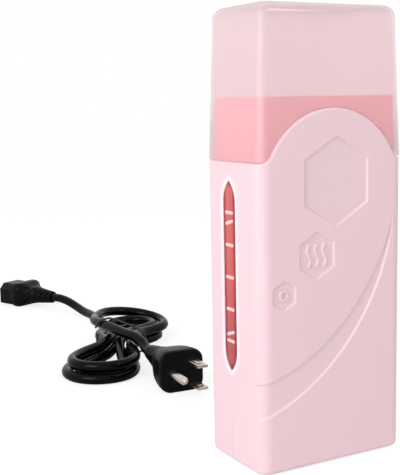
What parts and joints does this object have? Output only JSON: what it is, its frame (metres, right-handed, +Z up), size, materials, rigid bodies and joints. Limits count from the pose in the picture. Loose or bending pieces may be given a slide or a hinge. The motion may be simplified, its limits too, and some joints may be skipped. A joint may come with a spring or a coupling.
{
  "type": "roll-on wax heater",
  "caption": "Upright hand-held heater for a roll-on wax cartridge, with an arched pink shell, coral level windows, a frosted lift-off cap, a rear mains inlet and a loose mains lead.",
  "frame": {"origin": "centre of the heater's base on the surface it stands on, the loose mains lead left out", "axes": "+Z up, the front broad face with the hexagon pockets towards -Y, the pictured narrow side towards -X, the mains inlet on the +Y face"},
  "size_m": [0.1036, 0.4411, 0.207],
  "materials": {
    "shell": "satin pearl pink, moulded",
    "cap": "frosted translucent pink",
    "coral": "smooth coral",
    "coral_window": "translucent coral with white level marks",
    "feet": "matt",
    "plate": "pressed",
    "heater_foil": "amber insulating film",
    "spring_steel": "rolled",
    "steel": "zinc plated",
    "insulation": "glass fibre sheet",
    "black_plastic": "moulded",
    "fuse_white": "ceramic white",
    "lens": "clear",
    "led": "clear resin",
    "board": "laminate",
    "nickel": "nickel plated",
    "brass": "plain",
    "wire_brown": "silicone wire",
    "wire_blue": "silicone wire",
    "wire_green": "silicone wire",
    "wire_red": "silicone wire",
    "black_rubber": "moulded, slightly glossy",
    "cord": "smooth round sheath",
    "tie": "plastic-coated wire"
  },
  "bodies": {
    "heater": {"front_shell": "shell", "back_shell": "shell", "shell_screws": "steel", "rubber_feet": "feet", "cartridge_bay": "coral", "window_left": "coral_window", "window_right": "coral_window", "heating_plate": "plate", "ptc_heater": "heater_foil", "ptc_clamp": "spring_steel", "clamp_screws": "steel", "insulation_sheet": "insulation", "thermostat": "black_plastic", "thermal_fuse": "fuse_white", "led_lens": "lens", "led": "led", "led_board": "board", "mains_inlet": "black_plastic", "inlet_pins": "nickel", "wire_live": "wire_brown", "wire_neutral": "wire_blue", "wire_earth": "wire_green", "wire_led": "wire_red", "connector_body": "black_rubber", "connector_contacts": "brass", "connector_relief": "black_rubber", "cord_lead": "cord", "cord_hank": "cord", "cord_tail": "cord", "cord_tie": "tie", "plug_relief": "black_rubber", "plug_body": "black_rubber", "plug_blades": "nickel", "plug_ground_pin": "nickel"},
    "cap": {"cap": "cap"}
  },
  "joints": [
    {"name": "cap_lift", "type": "slide", "parent": "heater", "child": "cap", "axis": [0, 0, 1], "range_m": [0, 0.06]}
  ]
}
